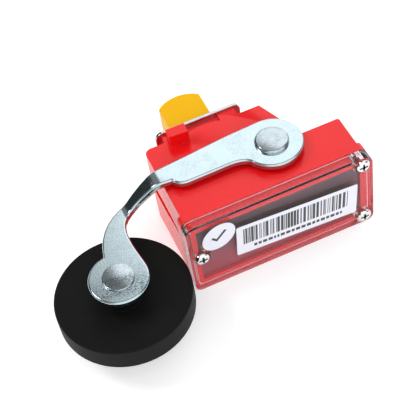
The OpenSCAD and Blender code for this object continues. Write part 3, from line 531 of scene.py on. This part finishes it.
# Both bands are painted dark reflection, on the lever's end and on the axle's head.
paint_dark_reflection(lever_zinc, start=-4.0, middle=6.5, end=10.5, tint=(0.12, 0.15, 0.17))
axle_zinc = rivet_zinc.copy()
axle_zinc.name = "axle_zinc"
paint_dark_reflection(axle_zinc, start=-1.0, middle=1.5, end=5.5, tint=(0.08, 0.10, 0.11))
print("specks lie around", [round(v / MM, 1) for v in axle_middle.xy], "mm")

# %% [markdown]
# ## The clear cover
# The cover is clear polycarbonate. A real thickness matters more than the material: the
# rim is a hollow box, so the light bends at four faces and draws lines along its edges.
# Glass in this shader is full transmission with a plain colour. Real polycarbonate bends
# light more, with an index of about 1.58; the index here is lower, because the thin rim
# looked darker with a higher one. The pink colour is painted light: the red that the rim picks up.

# %% Clear cover
cover_clear = bpy.data.materials.new("cover_clear")
cover_clear.use_nodes = True
clear_tree = cover_clear.node_tree
glass = clear_tree.nodes["Principled BSDF"]
# Painted light: the pink base colour stands for the casing's red picked up by the rim.
glass.inputs["Base Color"].default_value = (0.985, 0.82, 0.88, 1)
glass.inputs["Transmission Weight"].default_value = 1.0
glass.inputs["IOR"].default_value = 1.31
haze = own_noise(clear_tree, 240.0, Detail=4.0)
clear_tree.links.new(ramp(clear_tree, haze, low=0.015, high=0.06), glass.inputs["Roughness"])
print("clear cover ready, index", round(glass.inputs["IOR"].default_value, 2))

# %% [markdown]
# ## The lid behind the cover
# Behind the cover lies a lid whose dark grey top is painted shade, and whose lower part is
# painted with the red of the casing as bounce light. Two lids would need a seam that isn't there,
# so one finish changes colour along the height, from the lid's lower edge to its upper one.

# %% Lid with painted shade and painted bounce light
lid_low, lid_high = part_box("inner_lid")
# Painted light: the red at the lid's foot is painted bounce light from the casing, and its dark grey top
# is painted shade.
lid_foot_bounce_colour = (0.42, 0.03, 0.06)
lid_painted_shade = plastic("lid_painted_shade", (0.10, 0.09, 0.095), (0.09, 0.08, 0.085), (0.35, 0.5))
lid_shade_tree = lid_painted_shade.node_tree
lid_shade_place = put(lid_shade_tree, "ShaderNodeTexCoord")
lid_shade_split = put(lid_shade_tree, "ShaderNodeSeparateXYZ")
lid_shade_tree.links.new(lid_shade_place.outputs["Object"], lid_shade_split.inputs[0])
lid_shade_rise = ramp(lid_shade_tree, lid_shade_split.outputs["Z"], lid_low.z, lid_high.z, shape="SMOOTHSTEP")
lid_colour = lid_shade_tree.nodes["Principled BSDF"].inputs["Base Color"]
lid_shade_tree.links.new(blend_colours(lid_shade_tree, lid_shade_rise, lid_foot_bounce_colour,
                                   lid_colour.links[0].from_socket), lid_colour)
print("lid runs from", round(lid_low.z / MM, 1), "to", round(lid_high.z / MM, 1), "mm")

# %% [markdown]
# ## Paper labels
# A label is paper with a thin gloss over it: nearly white, a little blue, with fibres
# too fine to see but enough to break the shine. Ink is a dull black that has spread
# unevenly into the paper.

# %% Paper and ink
label_paper = plastic("label_paper", (0.83, 0.83, 0.90), (0.79, 0.79, 0.87), (0.4, 0.5),
                      grain=4200.0, bump=2e-6)
label_ink = plastic("label_ink", (0.028, 0.028, 0.032), (0.075, 0.075, 0.08), (0.5, 0.6),
                    grain=5200.0, bump=1e-6)
print("paper and ink ready")

# %% [markdown]
# ## Rounded edges
# A machined or moulded edge always has a small radius, and it is the thin highlight on
# that radius that tells the eye what it sees. The frame's meshes are triangles with
# separate corners, so they are welded first and their flat faces joined, or the short
# edges between triangles would stop the bevel. The bevel follows only the sharp edges,
# and last the normals are weighted by area so that flat faces stay flat. Slivers beside
# the lever's bends and the casing's small recesses upset a bevel, so both are welded more
# coarsely, and the casing's bevel slides along its own edges only.

# %% Edge rounding
FINE_WELD = 0.02
COARSE_WELD = {"lever_arm": 0.2, "housing": 0.1}
ALONG_EDGES = {"housing"}
FLAT_ANGLE, SHARP_ANGLE = math.radians(1), math.radians(60)


def round_edges(name, radius):
    """Gives a node's sharp edges a radius, in mm, with a stack of modifiers."""
    node = parts[name]
    node.data.polygons.foreach_set("use_smooth", [True] * len(node.data.polygons))
    weld = node.modifiers.new("weld", "WELD")
    weld.merge_threshold = COARSE_WELD.get(name, FINE_WELD) * MM
    join_flats = node.modifiers.new("join_flats", "DECIMATE")
    join_flats.decimate_type = "DISSOLVE"
    join_flats.angle_limit = FLAT_ANGLE
    soften = node.modifiers.new("edge_radius", "BEVEL")
    soften.offset_type = "ABSOLUTE" if name in ALONG_EDGES else "OFFSET"
    soften.width = radius * MM
    soften.segments = 3
    soften.limit_method = "ANGLE"
    soften.angle_limit = SHARP_ANGLE
    soften.use_clamp_overlap = False
    settle_normals = node.modifiers.new("flat_faces", "WEIGHTED_NORMAL")
    settle_normals.weight = 60


print("edges sharper than", round(math.degrees(SHARP_ANGLE)), "degrees will be rounded")

# %% [markdown]
# ## Dressing the frame
# Every node of the frame gets one finish, and an edge radius in millimetres where its
# edges show. A radius of 0 leaves the node's mesh as it came, which suits thin labels,
# wires and turned parts that have their own rounding.

# %% Finish and edge radius of each node
DRESS = {
    "housing": (casing_red, 0.2), "inner_lid": (lid_painted_shade, 0), "cover": (cover_clear, 0.3),
    "cover_screws": (chrome, 0.12), "cover_inserts": (brass, 0), "bar_label": (label_paper, 0),
    "oval_label": (label_paper, 0), "back_plate": (plate_steel, 0.2), "plate_screws": (plain_steel, 0.1),
    "shaft_bush": (bronze, 0.15), "shaft_seal": (seal_rubber, 0), "mount_inserts": (brass, 0.1),
    "entry_bush": (black_nylon, 0.3), "entry_grommet": (seal_rubber, 0.3),
    "contact_base": (brown_phenolic, 0.2), "base_screws": (plain_steel, 0), "front_contacts": (brass, 0),
    "back_contacts": (brass, 0), "terminal_screws": (plain_steel, 0), "clamp_washers": (plain_steel, 0.1),
    "lever_arm": (lever_zinc, 0.8), "pivot_shaft": (rivet_zinc, 0), "lever_cam": (plain_steel, 0.2),
    "cam_pin": (plain_steel, 0), "shaft_clip": (spring_steel, 0), "return_spring": (spring_steel, 0),
    "roller_axle": (axle_zinc, 0), "axle_spacer": (dark_nylon, 0.1), "axle_washer": (plain_steel, 0.15),
    "roller_tyre": (tyre_rubber, 0.15), "roller_hub": (dark_nylon, 0.2), "plunger": (ivory_nylon, 0),
    "contact_bridges": (brass, 0.1), "bridge_tips": (silver, 0.1), "plunger_clip": (spring_steel, 0),
    "plunger_spring": (spring_steel, 0), "reset_button": (button_yellow, 0.5),
    "reset_fork": (plain_steel, 0.1), "fork_screws": (plain_steel, 0), "reset_spring": (spring_steel, 0),
}
for name, (finish, radius) in DRESS.items():
    parts[name].data.materials.clear()
    parts[name].data.materials.append(finish)
    if radius:
        round_edges(name, radius)
print("dressed", len(DRESS), "of", len(parts), "nodes")

# %% [markdown]
# ## A way to print
# The labels carry bars, marks and a tick. They could be a picture wrapped on the label,
# but very thin printed shapes stay sharp at any distance. Each shape is an outline drawn
# on the label's own plane, and is given the thickness of a coat of ink.

# %% Printing helpers
INK_THICKNESS = 0.03


def label_plane(node, tilt_deg):
    """Middle of a label's front face and the directions along and up it."""
    low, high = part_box(node)
    middle = Vector(((low.x + high.x) / 2, low.y, (low.z + high.z) / 2))
    tilt = math.radians(tilt_deg)
    along = Vector((math.cos(tilt), 0, -math.sin(tilt)))
    up = Vector((math.sin(tilt), 0, math.cos(tilt)))
    return middle, along, up


def printed(name, outlines, plane, finish):
    """Thin flat shapes from outlines, in mm along and up the label, as one piece."""
    middle, along, up = plane
    shapes = bmesh.new()
    for outline in outlines:
        back_ring, front_ring = (
            [shapes.verts.new(middle + (along * u + up * v) * MM + Vector((0, depth * MM, 0)))
             for u, v in outline]
            for depth in (0.0, -INK_THICKNESS))
        shapes.faces.new(front_ring)
        shapes.faces.new(list(reversed(back_ring)))
        for i in range(len(outline)):
            j = (i + 1) % len(outline)
            shapes.faces.new((front_ring[j], front_ring[i], back_ring[i], back_ring[j]))
    bmesh.ops.recalc_face_normals(shapes, faces=shapes.faces)
    mesh = bpy.data.meshes.new(name)
    shapes.to_mesh(mesh)
    shapes.free()
    piece = bpy.data.objects.new(name, mesh)
    bpy.context.scene.collection.objects.link(piece)
    mesh.materials.append(finish)
    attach(piece, "casing")


def block(left, right, foot, top):
    """Outline of an upright block."""
    return [(left, foot), (right, foot), (right, top), (left, top)]


print("printing helpers ready")

# %% [markdown]
# ## Bars on the long label
# The long label carries a row of bars. A real one holds a number; this one mustn't, so the
# widths and gaps come from a seeded generator: they look like a code and say nothing. The
# label is stuck on at a slight tilt, and the bars follow it.

# %% Bars
bars_start, bars_end, bars_foot, bars_top = -21.8, 20.6, -2.6, 5.9
bar_widths, bar_gaps = (0.28, 0.28, 0.5, 0.75, 1.0), (0.25, 0.3, 0.5, 0.7)
bar_plane = label_plane("bar_label", tilt_deg=3.9)
dice = random.Random(7)
bars = []
at = bars_start
while at < bars_end:
    wide = dice.choice(bar_widths)
    bars.append(block(at, at + wide, bars_foot, bars_top))
    at += wide + dice.choice(bar_gaps)
printed("bar_marks", bars, bar_plane, label_ink)
print(len(bars), "bars")

# %% [markdown]
# ## Marks below the bars
# Below the bars runs a line of small print. At this size letters are only dark blocks, so
# blocks are what is made, and again they say nothing.

# %% Line of marks
marks_start, marks_end, marks_foot, marks_top = -17.6, 18.0, -5.6, -4.2
mark_widths, mark_gap = (0.8, 1.2, 1.7), 0.55
marks = []
at = marks_start
while at < marks_end:
    wide = dice.choice(mark_widths)
    marks.append(block(at, at + wide, marks_foot, marks_top))
    at += wide + mark_gap
printed("line_marks", marks, bar_plane, label_ink)
print(len(marks), "marks")

# %% [markdown]
# ## A tick on the oval label
# The oval label says that the switch was tested. A tick says so without words. Its outline
# runs round the stroke, from the short arm's end to the long arm's and back.

# %% Tick
tick = [(-3.0, 0.0), (-2.3, 0.7), (-1.0, -0.7), (2.5, 2.9), (3.2, 2.2), (-1.0, -2.1)]
printed("tick_mark", [tick], label_plane("oval_label", tilt_deg=0), label_ink)
print("a tick of", len(tick), "corners")
